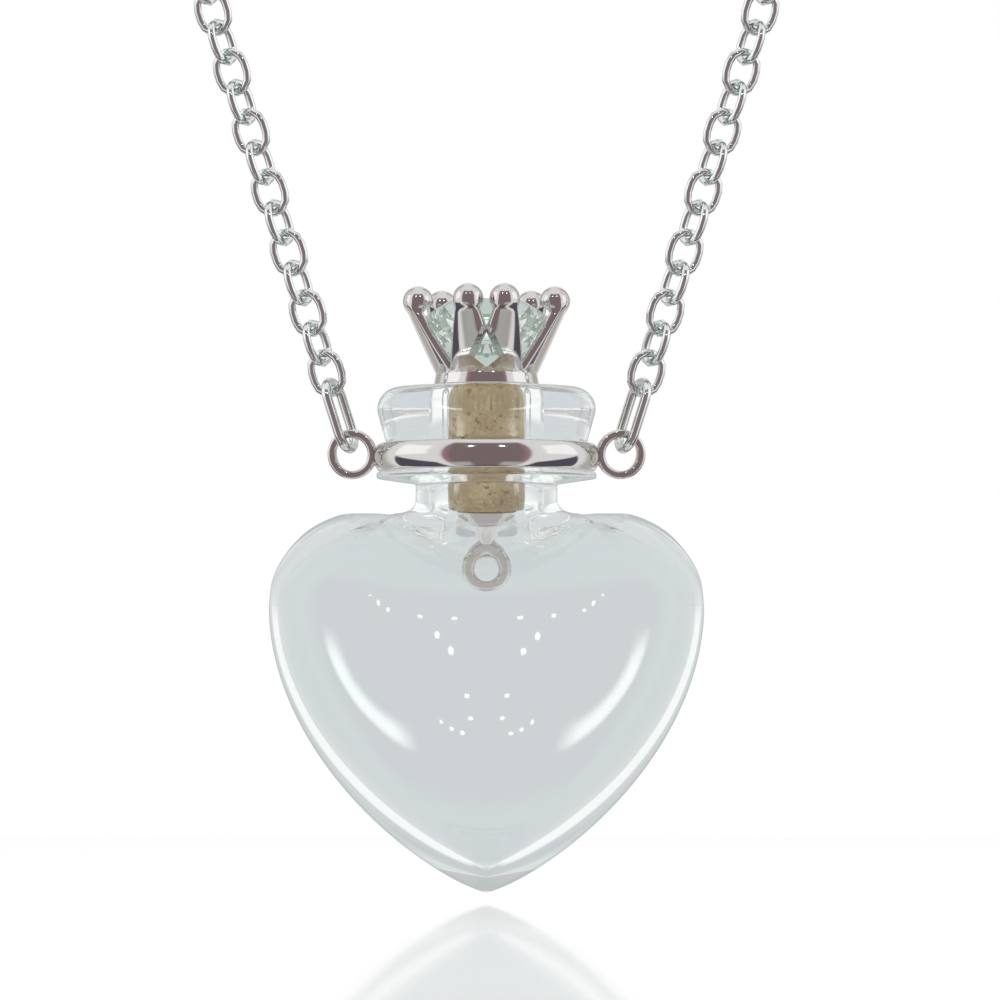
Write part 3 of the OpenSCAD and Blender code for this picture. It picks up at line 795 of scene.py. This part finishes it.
# The eye pin: a steel stem glued up into the cork, with a thick washer and an open eye under it.
# The eye hangs inside the heart, to hold what the wearer puts there.
STEM_R = 0.4 * MM
PIN_L = 4.0 * MM
WASHER_R = 1.85 * MM
WASHER_T = 1.0 * MM
EYE_R = 1.45 * MM
EYE_WIRE_R = 0.375 * MM
STALK = 0.4 * MM
SOLDER_R = 0.8 * MM
PIN_ROUND = 0.15 * MM
OPEN_TO = 345
washer_lo = cork_lo - WASHER_T
eye_z = washer_lo - STALK - EYE_R
eye_mid_r = EYE_R - EYE_WIRE_R
pin = turned(softened(
    [
        (0, eye_z + eye_mid_r), (EYE_WIRE_R, eye_z + eye_mid_r), (SOLDER_R, washer_lo),
        (WASHER_R, washer_lo), (WASHER_R, cork_lo - SUNK), (STEM_R, cork_lo - SUNK),
        (STEM_R, cork_lo + PIN_L), (0, cork_lo + PIN_L)
    ],
    PIN_ROUND
), columns=64)
eye = turned(arc((eye_mid_r, 0), EYE_WIRE_R, 0, OPEN_TO, 23), columns=64, loop=True)
upright = in_place @ Matrix.Translation((0, 0, eye_z)) @ Matrix.Rotation(radians(90), 4, "X")
finished(
    "eye_pin_steel", joined("pin", (pin, in_place), (eye, upright)),
    steel, "stopper", "polished_steel", "eye_pin"
)


# The studio: a pale floor just under the heart's tip, and a white room lit all round.
# The room is dark where the photographer stands, with two small lamps over the camera.
FLOOR_GAP = 0.4 * MM
FLOOR_R = 1200 * MM
WHITE = "#ffffff"
floor_mesh = joined("floor", (
    turned([(0, 0), (FLOOR_R, 0)], 64), Matrix.Translation(PENDANT + Vector((0, 0, tip - FLOOR_GAP)))
))
floor = bpy.data.objects.new("floor", floor_mesh)
bpy.context.collection.objects.link(floor)
floor.visible_glossy = False
floor.visible_transmission = False

# White acrylic sheet: matt and pale from above, and seen along its surface as bright as the room,
# with a faint mirror image of what hangs over it
sheet, tree, shader = new_material(
    "white acrylic sheet", Base_Color=linear("#f4f5f6"), Roughness=0.4,
    Emission_Color=linear(WHITE), Emission_Strength=0.3
)
facing = add(tree, "ShaderNodeLayerWeight", {"Blend": 0.5}).outputs["Facing"]
along_it = add(tree, "ShaderNodeMapRange", {"Value": facing, "From Min": 0.88, "From Max": 0.96})
bright = add(tree, "ShaderNodeEmission", {"Color": linear(WHITE)})
mirror = add(tree, "ShaderNodeBsdfGlossy", {"Color": linear(WHITE), "Roughness": 0.03})
low_view = add(tree, "ShaderNodeMixShader", {0: 0.5, 1: bright.outputs[0], 2: mirror.outputs[0]})
whole = add(tree, "ShaderNodeMixShader", {
    0: along_it.outputs["Result"], 1: shader.outputs[0], 2: low_view.outputs[0]
})
tree.links.new(whole.outputs[0], tree.nodes["Material Output"].inputs["Surface"])
floor_mesh.materials.append(sheet)

world = bpy.data.worlds.new("studio")
bpy.context.scene.world = world
world.use_nodes = True
tree = world.node_tree
tree.nodes.clear()
way = add(tree, "ShaderNodeTexCoord").outputs["Generated"]
part = add(tree, "ShaderNodeSeparateXYZ", {"Vector": way})
aside = add(tree, "ShaderNodeMath", {0: part.outputs["X"]}, operation="ABSOLUTE")
ahead = add(tree, "ShaderNodeMath", {0: part.outputs["Y"], 1: -1.0}, operation="MULTIPLY")
round_rad = add(tree, "ShaderNodeMath", {0: aside.outputs[0], 1: ahead.outputs[0]}, operation="ARCTAN2")
round_deg = add(tree, "ShaderNodeMath", {0: round_rad.outputs[0]}, operation="DEGREES").outputs[0]
up_rad = add(tree, "ShaderNodeMath", {0: part.outputs["Z"]}, operation="ARCSINE")
up_deg = add(tree, "ShaderNodeMath", {0: up_rad.outputs[0]}, operation="DEGREES").outputs[0]
bearing = add(tree, "ShaderNodeCombineXYZ", {"X": round_deg, "Y": up_deg}).outputs["Vector"]


def ramp(value, start, end):
    """A smooth step of a socket from 0 at start to 1 at end."""
    return add(tree, "ShaderNodeMapRange", {
        "Value": value, "From Min": start, "From Max": end
    }, interpolation_type="SMOOTHSTEP").outputs["Result"]


def both(a, b):
    """The product of two masks."""
    return add(tree, "ShaderNodeMath", {0: a, 1: b}, operation="MULTIPLY").outputs[0]


def patch(around, up, soft):
    """A mask that is 1 between two bearings from the camera and between two heights, in degrees."""
    sides = both(ramp(round_deg, around[0] - soft, around[0] + soft),
                 ramp(round_deg, around[1] + soft, around[1] - soft))
    ends = both(ramp(up_deg, up[0] - soft, up[0] + soft), ramp(up_deg, up[1] + soft, up[1] - soft))
    return both(sides, ends)


def mixed(factor, a, b):
    """One colour or the other, by a mask."""
    return add(tree, "ShaderNodeMix", {"Factor": factor, "A": a, "B": b}, data_type="RGBA").outputs["Result"]


def room(walls, patches):
    """The walls' colour with each patch laid over it."""
    shade = linear(walls)
    for around, up, soft, colour, strength in patches:
        lit = [strength * c for c in linear(colour)[:3]] + [1.0]
        shade = mixed(patch(around, up, soft), shade, lit)
    return shade


def spot(around, up):
    """How far, in degrees, a way points from one bearing and height."""
    return add(tree, "ShaderNodeVectorMath", {
        0: bearing, 1: (around, up, 0)
    }, operation="DISTANCE").outputs["Value"]


# What polished metal mirrors. Each patch of the room has its bearing either side of the
# camera, its height, its softness, its colour and its strength.
seen_in_metal = room(WHITE, [
    ((-20, 46), (-100, 54), 5.0, "#8c7c7e", 1.0),
    ((-20, 46), (-100, -60), 8.0, "#6d6062", 1.0),
    ((20, 46), (-62, -42), 4.0, "#c9ccc6", 0.95),
    ((39, 46), (-40, 40), 1.5, "#a8838c", 1.0),
    ((16, 20), (35, 39), 1.0, WHITE, 14.0),
    ((64, 106), (2, 36), 3.0, WHITE, 1.35),
    ((124, 156), (-60, 60), 8.0, "#c8c4bd", 1.0),
    ((162, 200), (-80, -3), 2.0, "#d4d4d6", 1.0),
])

# The dark gap between two white walls is a wedge that narrows upwards to an apex at the side.
# Its front edge falls gently from the apex and its back edge steeply.
APEX_AT = 106
FRONT_FALL = 0.8
BACK_FALL = 3.0
front_edge = add(tree, "ShaderNodeMath", {
    0: round_deg, 1: -FRONT_FALL, 2: FRONT_FALL * APEX_AT
}, operation="MULTIPLY_ADD")
back_edge = add(tree, "ShaderNodeMath", {
    0: round_deg, 1: BACK_FALL, 2: -BACK_FALL * APEX_AT
}, operation="MULTIPLY_ADD")
edge = add(tree, "ShaderNodeMath", {0: front_edge.outputs[0], 1: back_edge.outputs[0]}, operation="MAXIMUM")
below = add(tree, "ShaderNodeMath", {0: up_deg, 1: edge.outputs[0]}, operation="ADD")
between = both(ramp(round_deg, 57, 63), ramp(round_deg, 126, 120))
seen_in_metal = mixed(both(ramp(below.outputs[0], 2.0, -4.0), between), seen_in_metal, linear("#5f5a66"))

# What the glass's own surface mirrors: the white room, greyer far behind, the lit lower arc of
# a round soft box on each side, and small lamps either side of the camera
SOFT_BOX_AT = (26, 2)
SOFT_BOX_LIGHT = [9.5, 9.8, 9.7, 1.0]
LAMPS_AT = [
    (29, 18), (26, 15), (23, 12), (14, 11), (10, 7), (7, 4.5), (6, 11), (12, -15), (9, -17),
    (6, -18), (3.5, -13), (4, -6), (19, 61)
]
LAMP_LIGHT = [12.0, 12.0, 12.0, 1.0]
seen_in_glass = room("#f6f8f8", [((158, 200), (-75, 75), 8.0, "#b4babd", 1.0)])
from_box = spot(*SOFT_BOX_AT)
lit_arc = both(ramp(from_box, 17.5, 24.0), ramp(from_box, 30.5, 26.5))
lit_arc = both(lit_arc, both(ramp(round_deg, 22, 34), ramp(up_deg, 4, -6)))
seen_in_glass = mixed(lit_arc, seen_in_glass, SOFT_BOX_LIGHT)
for lamp in LAMPS_AT:
    seen_in_glass = mixed(ramp(spot(*lamp), 0.9, 0.4), seen_in_glass, LAMP_LIGHT)

# What shows straight through the glass: a grey wall behind, and bright walls all round.
# What is mirrored inside it is grey above, white low at the sides and grey under it, and
# metal inside the glass has the camera's dark side in it too.
through_glass = room("#f6f8f8", [((122, 200), (-60, 60), 12.0, "#d2d6d9", 1.0)])
mirrored_inside = room("#fbfdfc", [
    ((75, 200), (4, 80), 8.0, "#d6dadc", 1.0),
    ((162, 200), (-60, 4), 6.0, "#c4cacc", 1.0),
    ((-20, 200), (-100, -66), 6.0, "#cdd0d4", 1.0),
    ((-20, 60), (-50, 50), 10.0, "#cdc5c6", 1.0)
])

# Matt things are lit by more than the glass lets through to them, as by daylight.
# The camera itself sees a plain white backdrop.
DAYLIGHT = 1.65
rays = add(tree, "ShaderNodeLightPath").outputs
turned_back = add(tree, "ShaderNodeMath", {0: rays["Glossy Depth"], 1: 0.5}, operation="GREATER_THAN")
scattered = add(tree, "ShaderNodeMath", {0: rays["Diffuse Depth"], 1: 0.5}, operation="GREATER_THAN")
met = mixed(rays["Is Singular Ray"], seen_in_metal, seen_in_glass)
met = mixed(rays["Is Transmission Ray"], met, mixed(turned_back.outputs[0], through_glass, mirrored_inside))
met = mixed(scattered.outputs[0], met, [DAYLIGHT, DAYLIGHT, DAYLIGHT, 1.0])
final = mixed(rays["Is Camera Ray"], met, [1.0, 1.0, 1.0, 1.0])
background = add(tree, "ShaderNodeBackground", {"Color": final})
add(tree, "ShaderNodeOutputWorld", {"Surface": background.outputs["Background"]})

# The camera stands in front of the pendant, a little over its tip, and looks slightly up.
# Its frame is 60 mm wide at the pendant.
CAMERA_AT = Vector((0.81, -580.0, -150.5)) * MM
LOOK_AT = Vector((0.81, -80.0, -131.75)) * MM
camera = bpy.data.objects.new("camera", bpy.data.cameras.new("camera"))
camera.location = CAMERA_AT
camera.rotation_euler = (LOOK_AT - CAMERA_AT).to_track_quat("-Z", "Y").to_euler()
camera.data.lens = 300.3
camera.data.clip_start = 0.01
bpy.context.collection.objects.link(camera)
bpy.context.scene.camera = camera
bpy.context.scene.view_settings.view_transform = "Standard"
